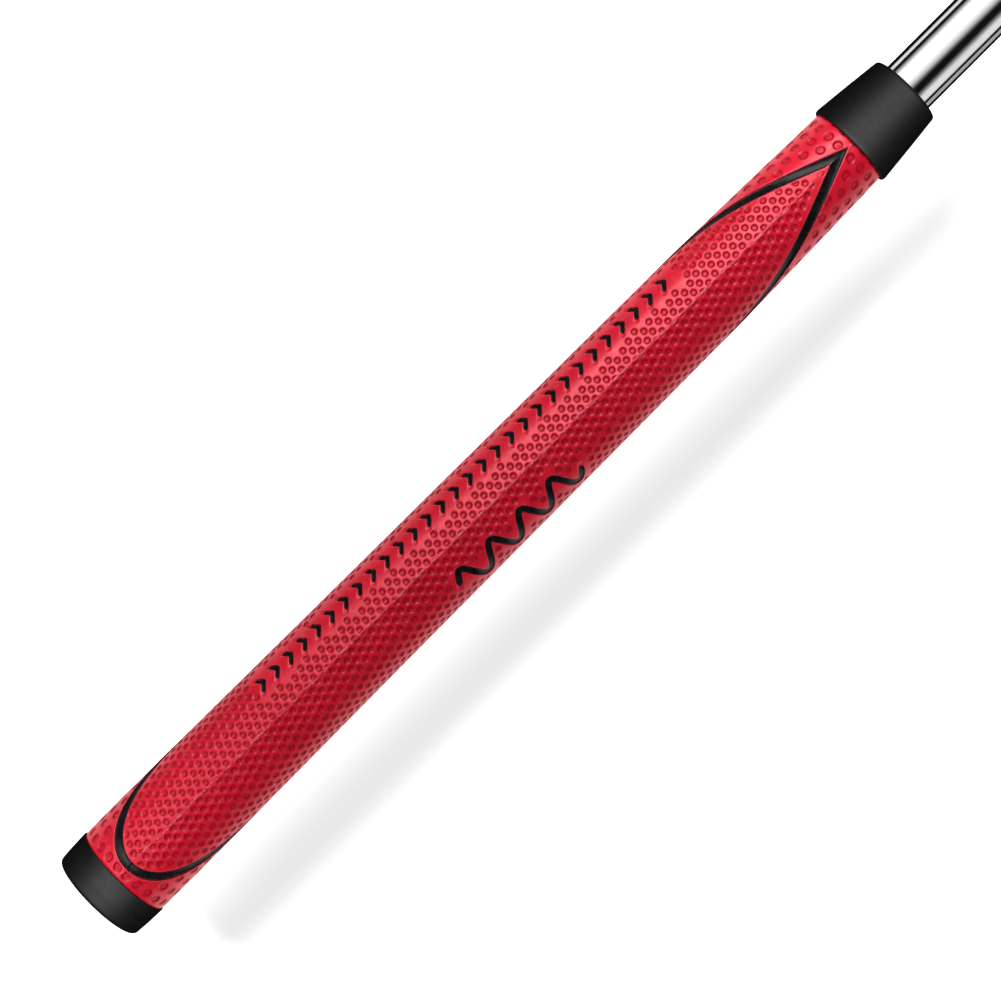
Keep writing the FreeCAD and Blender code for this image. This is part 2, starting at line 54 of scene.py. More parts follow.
# ---------------------------------------------------------------- sizes that the frame gives
skin_low, skin_high = (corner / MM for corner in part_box("outer_skin"))
cap_low, cap_high = (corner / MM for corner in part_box("butt_cap"))
collar_low, collar_high = (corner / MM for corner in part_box("nose_collar"))
shaft_low, shaft_high = (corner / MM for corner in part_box("shaft_stub"))
tape_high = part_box("grip_tape")[1] / MM
mounts = {mount["name"]: mount for mount in frame["record"]["mounts"]}

SKIN_START = skin_low.x
SKIN_END = skin_high.x
MOUTH = collar_high.x
LIP = SKIN_START  # the cap's lip ends where the wrap begins
SKIN_THICKNESS = 0.9
SHAFT_BUTT_RADIUS = shaft_high.z
SHAFT_RADIUS = mounts["shaft_end"]["dims"]["r_mm"]
TUBE_BORE_RADIUS = mounts["tube_bore"]["dims"]["r_mm"]
VENT_RADIUS = mounts["vent_hole"]["dims"]["r_mm"]
CAP_FLOOR = mounts["vent_hole"]["dims"]["length_mm"]

# ---------------------------------------------------------------- the grip's sections, as in the CAD part
# station along X, half width, how ridged the top is, radius beside the thumb flat, depth of the flat
STATIONS = np.array([
    (8.8, 12.45, 0.0, 10.0, 10.9),
    (18.0, 12.58, 0.45, 8.2, 10.9),
    (34.0, 12.42, 1.0, 5.4, 10.9),
    (85.0, 12.0, 1.0, 5.3, 10.9),
    (203.0, 11.3, 1.0, 5.0, 10.9),
    (228.0, 10.75, 0.8, 6.2, 10.9),
    (248.0, 10.22, 0.1, 9.5, 10.3),
])
STATION_BLUR = 6.0  # the stations' corners are eased over this distance
STATION_SAMPLES = 9
ROUND_GAP = 0.25  # on a round section, how far the shoulder's radius falls short of the half width
RIDGE_GAP = 0.45  # and how far the ridge's does
ROUND_RISE = 0.2
ROUND_TILT = math.radians(1.0)
FACET_TILT = math.radians(13.0)
FACET_RIDGE_RADIUS = 2.5
SHOULDER_RATIO = 0.755  # a ridged section's shoulder radius and centre height, as shares of the half width
SHOULDER_HEIGHT = 0.12
ARC_POINTS = 40
LINE_POINTS = 24
TABLE_STEP = 0.5
TABLE_ROWS = 1440
TABLE_MARGIN = 1  # the table goes on past both ends of the skin
CELL_EDGE = 0.001  # keeps a point at the table's far end inside its last cell

# ---------------------------------------------------------------- the wrap's pattern
GRID_STEP = 0.24  # spacing of the wrap's mesh, fine enough for a pit's rim
INNER_COLUMNS = 40  # rings of the wrap's plain inside
GROOVE_WIDTH = 2.3
GROOVE_DEPTH = 0.42
BOWL_FULLNESS = 2.6  # shape of a groove's floor: 2 is an ellipse, more is flatter
BOWL_EDGE = 0.82  # share of a groove's half width from which its floor is eased up to the sheet
RIM_HEIGHT = 0.05
RIM_ASIDE = 0.12  # from a groove's edge to the top of its raised rim
RIM_SPREAD = 0.14
HIGHLIGHT_ASIDE = 0.05  # from a groove's edge to the painted highlight line on its rim
# spread of the painted highlight beside the outline and beside the marks, and the marks' share of it
OUTLINE_HIGHLIGHT_SPREAD = 0.16
MARK_HIGHLIGHT_SPREAD = 0.13
MARK_HIGHLIGHT_SHARE = 0.7
PAINT_FILM = 0.05  # height of the paint over its groove's floor
FILM_MARGIN = 0.05  # bare wall left beside the paint
FILM_ROOT = 0.12  # how far the paint's closed underside lies inside the wrap
FILM_END = 0.04  # keeps the ends of a film from closing to a point
OUTLINE_NOSE = 243.7
OUTLINE_SLOPE = 0.4
OUTLINE_BEND = 4.0  # how sharply the straight nose strokes turn into the side strokes
OUTLINE_SIDE = 18.5
OUTLINE_BUTT = 12.9
OUTLINE_BOW = 46.0
OUTLINE_FULLNESS = 2.3  # 2 is an ellipse, more is squarer
OUTLINE_STEP = 0.3  # spacing of the points along each stroke's middle line
MARK_STEP = 0.15
WAVE_STEP = 0.2
MARK_START = 63.0
MARK_PITCH = 4.5
MARK_COUNT = 30
MARK_NEAR = 6.6
MARK_FAR = 10.6
MARK_LEAN = 1.7
MARK_WIDTH = 1.25
MARK_DEPTH = 0.3
WAVE_START = 112.5
WAVE_PERIOD = 9.8
WAVE_COUNT = 4
WAVE_SIDE = 9.0
WAVE_HEIGHT = 3.2
WAVE_WIDTH = 1.7
PIT_KINDS = (  # lattice steps on the flat sheet, radius, depth, whether inside the outline, seed
    (((2.44, -0.70), (-0.86, 2.19)), 0.89, 0.3, True, 3),
    (((3.55, 1.63), (0.0, 3.25)), 1.2, 0.32, False, 5),
)
PIT_WALL = 0.42
PIT_SWELL = 0.2  # rise of a pit's floor towards its middle, as a share of the depth
WALL_MIDDLE = 0.55  # middle and spread of the painted shade ring on a pit's wall, as shares of the wall's width
WALL_SPREAD = 0.5
PIT_JITTER = 0.035
LATTICE_REACH = 180  # lattice steps to each side, enough for the whole sheet
SHEET_ASIDE = 45  # the lattice is cut off this far from the thumb line, and just past both ends of the skin
SHEET_BEFORE = 3
SHEET_PAST = 6
GROOVE_CLEARANCE = 0.4  # from the outline's groove to a pit's centre at least, as a share of its radius
WAVE_CLEARANCE = 0.25
PLAIN_MARGIN = 1.5  # sheet left plain around the chevrons
PLAIN_PAST = 0.5  # and past the last of them
OUTLINE_FADE = (0.15, 0.45)  # pits come in between these distances from the outline's groove
SEAM_FADE = (0.08, 0.4)  # and from the seam
END_EASE = 0.9  # the wrap's two ends are rounded over this length, down by the drop
END_DROP = 0.22
SEAM_SEED = 11
SEAM_STEP = 0.3  # spacing of the sealant's rings along X
SEAM_SHORT = 0.2  # the sealant stops short of the collar's end of the wrap
SEAM_ACROSS = 9
SEAM_EASE = 0.6  # its crown comes in over this distance from the outline's groove
SEAM_SUNK = 0.02  # its edges lie this far in the sheet, and its closed underside this far
SEAM_ROOT = 0.25


def smooth(low, high, value):
    """0 below low, 1 above high and an S-curve between them."""
    share = np.clip((value - low) / (high - low), 0.0, 1.0)
    return share * share * (3 - 2 * share)


def station_values(x):
    """Section sizes at x: the stations' straight lines with their corners eased."""
    offsets = np.linspace(-STATION_BLUR, STATION_BLUR, STATION_SAMPLES)
    low, high = STATIONS[0, 0], STATIONS[-1, 0]
    reach = np.clip(np.minimum(x - low, high - x) / STATION_BLUR, 0, 1)
    spots = x + offsets * reach
    sizes = STATIONS[:, 1:].T
    return [float(np.interp(spots, STATIONS[:, 0], size).mean()) for size in sizes]


def section(x):
    """The section's outline from the thumb side's middle up the -Y side, over the ridge and back: (y, z)."""
    half, ridged, corner, depth = station_values(x)
    tilt = ROUND_TILT + (FACET_TILT - ROUND_TILT) * ridged
    shoulder = (1 - ridged) * (half - ROUND_GAP) + ridged * half * SHOULDER_RATIO
    ridge = (1 - ridged) * (half - RIDGE_GAP) + ridged * FACET_RIDGE_RADIUS
    rise = (1 - ridged) * ROUND_RISE + ridged * half * SHOULDER_HEIGHT
    run = half - shoulder
    crest = rise + (shoulder - ridge + run * math.sin(tilt)) / math.cos(tilt)
    turn = math.pi / 2
    arcs = (
        ((half - corner), corner - depth, corner, -turn, 0.0),
        (run, rise, shoulder, 0.0, turn - tilt),
        (0.0, crest, ridge, turn - tilt, turn),
    )
    points = [np.array([[0.0, -depth]])]
    for across, up, radius, start, end in arcs:
        angles = np.linspace(start, end, ARC_POINTS)
        arc = np.stack([across + radius * np.cos(angles), up + radius * np.sin(angles)], 1)
        line = np.linspace(points[-1][-1], arc[0], LINE_POINTS)[1:-1]
        points += [line, arc]
    half_outline = np.concatenate(points)
    half_outline[-1, 0] = 0.0
    mirrored = half_outline * (-1, 1)
    return np.concatenate([mirrored, half_outline[-2::-1]])


def run_along(path):
    """Distance along a path to each of its points."""
    return np.concatenate([[0.0], np.cumsum(np.linalg.norm(np.diff(path, axis=0), axis=1))])


def make_table():
    """Points and normals of the smooth surface for even steps of x and of girth share from -1 to 1."""
    xs = np.arange(SKIN_START - TABLE_MARGIN, SKIN_END + TABLE_MARGIN + TABLE_STEP, TABLE_STEP)
    shares = np.linspace(-1, 1, TABLE_ROWS + 1)
    spots = np.zeros((len(xs), TABLE_ROWS + 1, 2))
    girths = np.zeros(len(xs))
    for column, x in enumerate(xs):
        outline = section(float(np.clip(x, SKIN_START, SKIN_END)))
        run = run_along(outline)
        girths[column] = run[-1] / 2
        at = (shares + 1) / 2 * run[-1]
        for axis in (0, 1):
            spots[column, :, axis] = np.interp(at, run, outline[:, axis])
    along = np.gradient(spots, axis=1)
    along[:, 0] = along[:, -1] = spots[:, 1] - spots[:, -2]
    along /= np.linalg.norm(along, axis=2, keepdims=True)
    normals = np.stack([-along[..., 1], along[..., 0]], 2)
    return xs, girths, spots, normals


TABLE_X, TABLE_GIRTH, TABLE_SPOTS, TABLE_NORMALS = make_table()


def half_girth(x):
    """Distance from the ridge to the thumb side's middle along the surface."""
    return np.interp(x, TABLE_X, TABLE_GIRTH)


def surface(x, girth, height):
    """Points on the wrap's smooth surface, raised along its normal by height."""
    x = np.asarray(x, float)
    girth = np.asarray(girth, float)
    column = np.clip((x - TABLE_X[0]) / TABLE_STEP, 0, len(TABLE_X) - 1 - CELL_EDGE)
    row = np.clip((girth / half_girth(x) + 1) / 2 * TABLE_ROWS, 0, TABLE_ROWS - CELL_EDGE)
    c0 = column.astype(int)
    r0 = row.astype(int)
    c = (column - c0)[..., None]
    r = (row - r0)[..., None]

    def look(table):
        low = table[c0, r0] * (1 - r) + table[c0, r0 + 1] * r
        high = table[c0 + 1, r0] * (1 - r) + table[c0 + 1, r0 + 1] * r
        return low * (1 - c) + high * c

    yz = look(TABLE_SPOTS) + look(TABLE_NORMALS) * np.asarray(height, float)[..., None]
    return np.stack([x, yz[..., 0], yz[..., 1]], -1)


# ---------------------------------------------------------------- strokes on the sheet
def outline_girth(x):
    """Half width of the outlined panel at x: nose strokes that bend into the sides, and a bowed butt end."""
    straight = OUTLINE_SLOPE * (OUTLINE_NOSE - x)
    bent = np.clip(straight, 0, None) / OUTLINE_SIDE
    nose = straight / (1 + bent**OUTLINE_BEND) ** (1 / OUTLINE_BEND)
    left = np.clip(1 - (x - OUTLINE_BUTT) / OUTLINE_BOW, 0, 1)
    return np.minimum(nose, OUTLINE_SIDE * np.sqrt(1 - left**OUTLINE_FULLNESS))


def even_path(points, step):
    """The same path with evenly spaced points."""
    points = np.asarray(points, float)
    run = run_along(points)
    at = np.linspace(0, run[-1], max(2, int(round(run[-1] / step)) + 1))
    return np.stack([np.interp(at, run, points[:, k]) for k in (0, 1)], 1)


def tangents(path):
    """Unit vectors along a path at each of its points."""
    ahead = np.gradient(path, axis=0)
    return ahead / np.linalg.norm(ahead, axis=1, keepdims=True)


def outline_path():
    """The outline's stroke on the +Y side as (x, girth), carried on straight over the seam past its nose."""
    bow = OUTLINE_BUTT + OUTLINE_BOW * (1 - np.sin(np.linspace(0, math.pi / 2, 120)))
    x = np.concatenate([np.linspace(OUTLINE_NOSE + MITRE + 1, bow[0], 500), bow[1:]])
    return even_path(np.stack([x, outline_girth(x)], 1), OUTLINE_STEP)


def chevron_paths():
    """A row of plain chevrons along one shoulder, all pointing to the mouth."""
    middle = (MARK_NEAR + MARK_FAR) / 2
    starts = MARK_START + MARK_PITCH * np.arange(MARK_COUNT)
    return [even_path([(x, MARK_FAR), (x + MARK_LEAN, middle), (x, MARK_NEAR)], MARK_STEP) for x in starts]


def wave_path():
    """A plain wave along the other shoulder."""
    share = np.linspace(0, 1, 400)
    x = WAVE_START + WAVE_PERIOD * WAVE_COUNT * share
    girth = -WAVE_SIDE + WAVE_HEIGHT * np.sin(2 * math.pi * WAVE_COUNT * share)
    return even_path(np.stack([x, girth], 1), WAVE_STEP)


MITRE = GROOVE_WIDTH / 2 / math.sin(math.atan(OUTLINE_SLOPE))  # from the strokes' meeting to the nose's tip
OUTLINE = outline_path()
CHEVRONS = chevron_paths()
WAVE = wave_path()
FAR_AWAY = 9.0  # stands for the distance of everything well clear of a stroke
SEARCH_REACH = 3  # strokes are looked for this far around their own box
LINE_REACH = 2.5  # nearer than this, the distance is taken to a stroke's line and not to its nearest point


def point_tree(points):
    """A search tree over flat points."""
    tree = kdtree.KDTree(len(points))
    for n, (a, b) in enumerate(points):
        tree.insert((a, b, 0), n)
    tree.balance()
    return tree


def path_distance(paths, x, girth):
    """Distance on the sheet from each (x, girth) to the nearest of the paths, exact only close to them."""
    spots = np.concatenate(paths)
    ahead = np.concatenate([np.concatenate([p[1:], p[-1:] * 2 - p[-2:-1]]) for p in paths])
    tree = point_tree(spots)
    distance = np.full(x.size, FAR_AWAY)
    low = spots.min(0) - SEARCH_REACH
    high = spots.max(0) + SEARCH_REACH
    xs = x.ravel()
    gs = girth.ravel()
    near = np.nonzero((xs > low[0]) & (xs < high[0]) & (gs > low[1]) & (gs < high[1]))[0]
    for k in near:
        _, n, far = tree.find((xs[k], gs[k], 0))
        if far > LINE_REACH:
            distance[k] = far
            continue
        ax, ag = spots[n]
        tx, tg = ahead[n] - spots[n]
        length = math.hypot(tx, tg)
        aside = abs((xs[k] - ax) * tg - (gs[k] - ag) * tx) / length
        along = abs((xs[k] - ax) * tx + (gs[k] - ag) * tg) / length
        distance[k] = math.hypot(aside, max(0.0, along - OUTLINE_STEP))
    return distance.reshape(x.shape)


def outline_distance(x, girth):
    """Distance to the outline's centre line; its nose is mitred to a sharp tip on the seam."""
    return path_distance([OUTLINE], x, np.abs(girth))


def beside(distance, width, aside, spread):
    """A soft line along both sides of a stroke, a given distance off its edges."""
    return np.exp(-(((distance - width / 2 - aside) / spread) ** 2))


def groove_height(distance, width, depth):
    """A concave groove with a rounded bottom and a slightly raised, rounded rim."""
    share = np.clip(distance / (width / 2), 0, 1)
    bowl = -depth * np.sqrt(np.clip(1 - share**BOWL_FULLNESS, 0, 1)) * smooth(1.0, BOWL_EDGE, share)
    return bowl + RIM_HEIGHT * beside(distance, width, RIM_ASIDE, RIM_SPREAD)


# ---------------------------------------------------------------- pits on the sheet
APEX = SKIN_START + half_girth(SKIN_START) / (
    (half_girth(SKIN_START) - half_girth(SKIN_END)) / (SKIN_END - SKIN_START)
)  # where the wrap's cone would close


def to_sheet(x, girth):
    """The wrap laid flat: its thumb line along X and its closing edges on both sides."""
    side = np.where(girth >= 0, 1.0, -1.0)
    from_thumb = side * (half_girth(x) - np.abs(girth))
    radius = APEX - x
    angle = from_thumb / radius
    return APEX - radius * np.cos(angle), radius * np.sin(angle)


def from_sheet(flat_x, flat_y):
    """The way back from the flat wrap to (x, girth)."""
    radius = np.hypot(APEX - flat_x, flat_y)
    x = APEX - radius
    from_thumb = radius * np.arctan2(flat_y, APEX - flat_x)
    side = np.where(from_thumb >= 0, 1.0, -1.0)
    return x, side * (half_girth(x) - np.abs(from_thumb))


def lattice(steps, seed):
    """Points of a slightly uneven lattice over the whole sheet."""
    (ax, ay), (bx, by) = steps
    reach = np.arange(-LATTICE_REACH, LATTICE_REACH + 1)
    i, j = np.meshgrid(reach, reach)
    flat_x = (SKIN_START + SKIN_END) / 2 + i * ax + j * bx
    flat_y = i * ay + j * by
    keep = (np.abs(flat_y) < SHEET_ASIDE) & (flat_x > SKIN_START - SHEET_BEFORE)
    keep &= flat_x < SKIN_END + SHEET_PAST
    jitter = np.random.default_rng(seed).normal(0, PIT_JITTER, (2, keep.sum()))
    return flat_x[keep] + jitter[0], flat_y[keep] + jitter[1]


def panel_margin(x, girth):
    """How far inside the outline's centre line a point is, roughly; negative outside."""
    inside = outline_girth(x) - np.abs(girth)
    return np.where((x > OUTLINE_BUTT) & (x < OUTLINE_NOSE), inside, -1.0)


def pit_centres():
    """The pits on the flat sheet, small inside the outline and large outside: (X, Y, radius, depth)."""
    rows = []
    marks_end = MARK_START + MARK_PITCH * MARK_COUNT
    for steps, radius, depth, inside, seed in PIT_KINDS:
        flat_x, flat_y = lattice(steps, seed)
        x, girth = from_sheet(flat_x, flat_y)
        keep = (x > SKIN_START - radius) & (x < SKIN_END + radius)
        margin = panel_margin(x, girth)
        keep &= (margin > 0) if inside else (margin <= 0)
        keep &= outline_distance(x, girth) > GROOVE_WIDTH / 2 + radius * GROOVE_CLEARANCE
        in_marks = (x > MARK_START - PLAIN_MARGIN) & (x < marks_end + PLAIN_PAST)
        in_marks &= (girth > MARK_NEAR - PLAIN_MARGIN) & (girth < MARK_FAR + PLAIN_MARGIN)
        keep &= ~in_marks
        keep &= path_distance([WAVE], x, girth) > WAVE_WIDTH / 2 + radius + WAVE_CLEARANCE
        for a, b in zip(flat_x[keep], flat_y[keep]):
            rows.append((a, b, radius, depth))
    return np.array(rows)


def pit_profile(distance, radius, depth):
    """Height inside a pit: a rounded wall down to a floor that swells a little in the middle."""
    floor_radius = radius - PIT_WALL
    swell = PIT_SWELL * depth * np.clip(1 - (distance / floor_radius) ** 2, 0, 1)
    return -depth * smooth(radius, floor_radius, distance) + swell


def pits(x, girth):
    """Height of the pits at each point of the sheet, with masks of their walls and of their hollows, which
    carry painted shade.
    """
    centres = pit_centres()
    tree = point_tree(centres[:, :2])
    flat_x, flat_y = to_sheet(x, girth)
    found = [tree.find((a, b, 0))[1:] for a, b in zip(flat_x.ravel(), flat_y.ravel())]
    nearest = np.array([n for n, _ in found]).reshape(x.shape)
    distance = np.array([far for _, far in found]).reshape(x.shape)
    radius, depth = (centres[nearest, k] for k in (2, 3))
    height = np.where(distance < radius, pit_profile(distance, radius, depth), 0.0)
    # the wall and hollow masks mark where the material paints shade in a pit
    middle = radius - PIT_WALL * WALL_MIDDLE
    wall = np.exp(-(((distance - middle) / (PIT_WALL * WALL_SPREAD)) ** 2))
    hollow = smooth(radius, radius - PIT_WALL, distance)
    return height, wall, hollow


# ---------------------------------------------------------------- mesh helpers
LATHE_TURNS = 256
ARC_SHARE = 0.49  # a rounding takes at most this share of an edge
CAP_LONGEST = 0.7  # longest edge of the rubber pieces' outlines, and of the shaft's
SHAFT_LONGEST = 4.0


def new_object(name, points, faces, material, smooth_shading=True):
    """A mesh object from points in millimetres."""
    mesh = bpy.data.meshes.new(name)
    mesh.from_pydata((np.asarray(points) * MM).tolist(), [], faces)
    mesh.validate()
    mesh.polygons.foreach_set("use_smooth", [smooth_shading] * len(mesh.polygons))
    mesh.materials.append(material)
    piece = bpy.data.objects.new(name, mesh)
    bpy.context.scene.collection.objects.link(piece)
    return piece


def grid_faces(rows, columns, closed_rows=False, closed_columns=False):
    """Quads of a grid of points numbered row by row."""
    last_row = rows if closed_rows else rows - 1
    last_column = columns if closed_columns else columns - 1
    r, c = np.meshgrid(np.arange(last_row), np.arange(last_column), indexing="ij")
    r1 = (r + 1) % rows
    c1 = (c + 1) % columns
    quads = np.stack([r * columns + c, r * columns + c1, r1 * columns + c1, r1 * columns + c], -1)
    return quads.reshape(-1, 4).tolist()


def set_attribute(piece, name, values):
    """A value for every point of the mesh, for its material to read."""
    attribute = piece.data.attributes.new(name, "FLOAT", "POINT")
    attribute.data.foreach_set("value", np.asarray(values, np.float32).ravel())


def rounded(corners, steps=8):
    """A closed outline through (x, r, rounding) corners, each rounded by an arc of that radius."""
    outline = []
    count = len(corners)
    for n, (x, r, radius) in enumerate(corners):
        here = np.array([x, r], float)
        before = np.array(corners[n - 1][:2], float) - here
        after = np.array(corners[(n + 1) % count][:2], float) - here
        if radius <= 0:
            outline.append(here)
            continue
        u = before / np.linalg.norm(before)
        v = after / np.linalg.norm(after)
        half = math.acos(np.clip(u @ v, -1, 1)) / 2
        edge = min(np.linalg.norm(before), np.linalg.norm(after))
        reach = min(radius / math.tan(half), ARC_SHARE * edge)
        radius = reach * math.tan(half)
        bisector = (u + v) / np.linalg.norm(u + v)
        centre = here + bisector * radius / math.sin(half)
        first = here + u * reach - centre
        last = here + v * reach - centre
        swing = math.atan2(first[0] * last[1] - first[1] * last[0], first @ last)
        for k in range(steps + 1):
            angle = swing * k / steps
            turned = (
                first[0] * math.cos(angle) - first[1] * math.sin(angle),
                first[0] * math.sin(angle) + first[1] * math.cos(angle),
            )
            outline.append(centre + turned)
    return np.array(outline)


def subdivided(outline, longest):
    """The closed outline with no edge longer than a given length."""
    points = []
    for here, ahead in zip(outline, np.roll(outline, -1, axis=0)):
        count = max(1, int(math.ceil(np.linalg.norm(ahead - here) / longest)))
        points += [here + (ahead - here) * k / count for k in range(count)]
    return np.array(points)


def lathe(name, outline, material):
    """Turns a closed (x, r) outline about the shaft axis."""
    angles = np.arange(LATHE_TURNS) * 2 * math.pi / LATHE_TURNS
    x = np.repeat(outline[:, 0], LATHE_TURNS)
    r = np.repeat(outline[:, 1], LATHE_TURNS)
    a = np.tile(angles, len(outline))
    points = np.stack([x, r * np.cos(a), r * np.sin(a)], 1)
    faces = grid_faces(len(outline), LATHE_TURNS, closed_rows=True, closed_columns=True)
    return outward(new_object(name, points, faces, material))


def outward(piece):
    """Makes a closed mesh's faces point out."""
    bpy.context.view_layer.update()
    mesh = piece.data
    mesh.calc_loop_triangles()
    corners = np.array([t.vertices for t in mesh.loop_triangles])
    co = np.zeros(len(mesh.vertices) * 3)
    mesh.vertices.foreach_get("co", co)
    a, b, c = (co.reshape(-1, 3)[corners[:, k]] for k in range(3))
    if np.einsum("ij,ij->i", a, np.cross(b, c)).sum() < 0:
        mesh.flip_normals()
    return piece


# ---------------------------------------------------------------- materials
RED_DEEP = (0.60, 0.003, 0.020)
RED_BRIGHT = (0.70, 0.005, 0.026)
RED_MOTTLE = (0.78, 0.015, 0.04)
RED_SCUFF = (0.85, 0.075, 0.11)
RED_MASKS = (  # attribute, how strongly it colours the sheet, colour
    # painted shade: darker pit hollows and a dark painted-shade ring on the pit walls
    ("hollow", 0.2, (0.20, 0.001, 0.005)),
    ("wall", 0.7, (0.13, 0.001, 0.005)),
    # a painted highlight on the rims beside the grooves
    ("rim", 0.35, (0.85, 0.10, 0.13)),
)
RED_TINT = (1.0, 0.28, 0.32, 1)  # colour of the sheet's soft shine


class Nodes:
    """A short way to write a material's node tree."""

    def __init__(self, name):
        self.material = bpy.data.materials.new(name)
        self.material.use_nodes = True
        self.tree = self.material.node_tree
        self.shader = self.tree.nodes["Principled BSDF"]

    def add(self, kind, **settings):
        node = self.tree.nodes.new(kind)
        for key, value in settings.items():
            setattr(node, key, value)
        return node

    def link(self, source, target):
        self.tree.links.new(source, target)

    def feed(self, source, name):
        """Drives one of the shader's inputs."""
        self.link(source, self.shader.inputs[name])

    def set(self, **values):
        """Fixes shader inputs; an underscore in a keyword stands for a space in the input's name."""
        for key, value in values.items():
            self.shader.inputs[key.replace("_", " ")].default_value = value

    def noise(self, scale, detail=4.0, roughness=0.55, stretch=(1, 1, 1)):
        """Noise over the object's own coordinates; scale is in cycles per millimetre."""
        where = self.add("ShaderNodeTexCoord")
        mapping = self.add("ShaderNodeMapping")
        mapping.inputs["Scale"].default_value = [s / MM for s in stretch]
        self.link(where.outputs["Object"], mapping.inputs["Vector"])
        noise = self.add("ShaderNodeTexNoise")
        noise.inputs["Scale"].default_value = scale
        noise.inputs["Detail"].default_value = detail
        noise.inputs["Roughness"].default_value = roughness
        self.link(mapping.outputs["Vector"], noise.inputs["Vector"])
        return noise.outputs["Fac"]

    def ramp(self, source, stops):
        """Colours between two (value, colour) stops."""
        ramp = self.add("ShaderNodeValToRGB")
        for element, (place, colour) in zip(ramp.color_ramp.elements, stops):
            element.position = place
            element.color = (*colour, 1.0)
        self.link(source, ramp.inputs["Fac"])
        return ramp.outputs["Color"]

    def span(self, source, low, high, to_low, to_high):
        """The source's range from low to high, stretched to another range and held at its ends."""
        spread = self.add("ShaderNodeMapRange")
        for key, value in (("From Min", low), ("From Max", high), ("To Min", to_low), ("To Max", to_high)):
            spread.inputs[key].default_value = value
        self.link(source, spread.inputs["Value"])
        return spread.outputs["Result"]

    def mix(self, share, base, colour):
        """The base with a share of another colour over it; the sockets are the mix node's colour ones."""
        mix = self.add("ShaderNodeMix", data_type="RGBA")
        self.link(share, mix.inputs[0])
        self.link(base, mix.inputs[6])
        mix.inputs[7].default_value = (*colour, 1.0)
        return mix.outputs[2]

    def attribute(self, name):
        node = self.add("ShaderNodeAttribute", attribute_name=name)
        return node.outputs["Fac"]

    def bump(self, heights):
        """Bumps from (height socket, distance in millimetres, strength) rows, one on the other."""
        last = None
        for source, distance, strength in heights:
            bump = self.add("ShaderNodeBump")
            bump.inputs["Distance"].default_value = distance * MM
            bump.inputs["Strength"].default_value = strength
            self.link(source, bump.inputs["Height"])
            if last is not None:
                self.link(last, bump.inputs["Normal"])
            last = bump.outputs["Normal"]
        self.feed(last, "Normal")


def red_polyurethane():
    """Soft-touch red sheet: a fine skin grain, painted shade in the pits and a painted highlight along the
    pressed rims.
    """
    nodes = Nodes("red_polyurethane")
    tone = nodes.noise(0.09, detail=5)
    base = nodes.ramp(tone, [(0.3, RED_DEEP), (0.7, RED_BRIGHT)])
    mottle = nodes.noise(0.9, detail=3)
    base = nodes.mix(nodes.span(mottle, 0.4, 0.75, 0.0, 0.3), base, RED_MOTTLE)
    scuffs = nodes.noise(0.3, detail=7, roughness=0.72)
    base = nodes.mix(nodes.span(scuffs, 0.54, 0.74, 0.0, 0.4), base, RED_SCUFF)
    for name, strength, colour in RED_MASKS:
        base = nodes.mix(nodes.span(nodes.attribute(name), 0.0, 1.0, 0.0, strength), base, colour)
    nodes.feed(base, "Base Color")
    nodes.feed(nodes.span(nodes.noise(0.5), 0.3, 0.7, 0.36, 0.46), "Roughness")
    nodes.bump([(nodes.noise(6.0, detail=3), 0.02, 0.3), (nodes.noise(1.6, detail=4), 0.03, 0.25)])
    nodes.feed(nodes.span(nodes.attribute("hollow"), 0.0, 1.0, 0.5, 0.25), "Specular IOR Level")
    nodes.set(Specular_Tint=RED_TINT)
    return nodes.material


def seam_sealant():
    """Red sealant, paler in random patches."""
    nodes = Nodes("red_seam_sealant")
    tone = nodes.noise(1.2, detail=3)
    base = nodes.ramp(tone, [(0.40, (0.50, 0.006, 0.028)), (0.62, (0.74, 0.10, 0.14))])
    nodes.feed(base, "Base Color")
    nodes.feed(nodes.span(tone, 0.3, 0.7, 0.38, 0.55), "Roughness")
    nodes.bump([(nodes.noise(3.0, detail=3), 0.03, 0.5)])
    nodes.set(Specular_IOR_Level=0.3)
    return nodes.material


def black_paint():
    """Thick glossy paint that has settled in a pressed groove."""
    nodes = Nodes("black_paint")
    tone = nodes.noise(0.4, detail=4)
    base = nodes.ramp(tone, [(0.3, (0.004, 0.004, 0.005)), (0.7, (0.012, 0.012, 0.014))])
    nodes.feed(base, "Base Color")
    nodes.feed(nodes.span(nodes.noise(0.8), 0.3, 0.7, 0.20, 0.36), "Roughness")
    nodes.bump([(nodes.noise(1.2, detail=3), 0.03, 0.3)])
    nodes.set(Specular_IOR_Level=0.12)
    return nodes.material


def black_rubber():
    """Matte moulded rubber with a fine spark-eroded texture."""
    nodes = Nodes("black_rubber")
    tone = nodes.noise(0.15, detail=5)
    base = nodes.ramp(tone, [(0.3, (0.0008, 0.0008, 0.0009)), (0.7, (0.0018, 0.0018, 0.002))])
    nodes.feed(base, "Base Color")
    nodes.feed(nodes.span(nodes.noise(0.7), 0.3, 0.7, 0.52, 0.60), "Roughness")
    nodes.bump([(nodes.noise(9.0, detail=2), 0.012, 0.35), (nodes.noise(0.5, detail=3), 0.03, 0.12)])
    nodes.set(Specular_IOR_Level=0.5)
    return nodes.material


def chrome_steel():
    """Bright chrome plate with faint lengthwise polishing lines and a trace of haze."""
    nodes = Nodes("chrome_steel")
    haze = nodes.noise(0.12, detail=4)
    base = nodes.ramp(haze, [(0.3, (0.86, 0.87, 0.88)), (0.7, (0.93, 0.93, 0.94))])
    nodes.feed(base, "Base Color")
    lines = nodes.noise(6.0, detail=2, stretch=(0.02, 1, 1))
    nodes.feed(nodes.span(lines, 0.3, 0.7, 0.08, 0.12), "Roughness")
    nodes.bump([(lines, 0.002, 0.2)])
    nodes.set(Metallic=1.0)
    return nodes.material


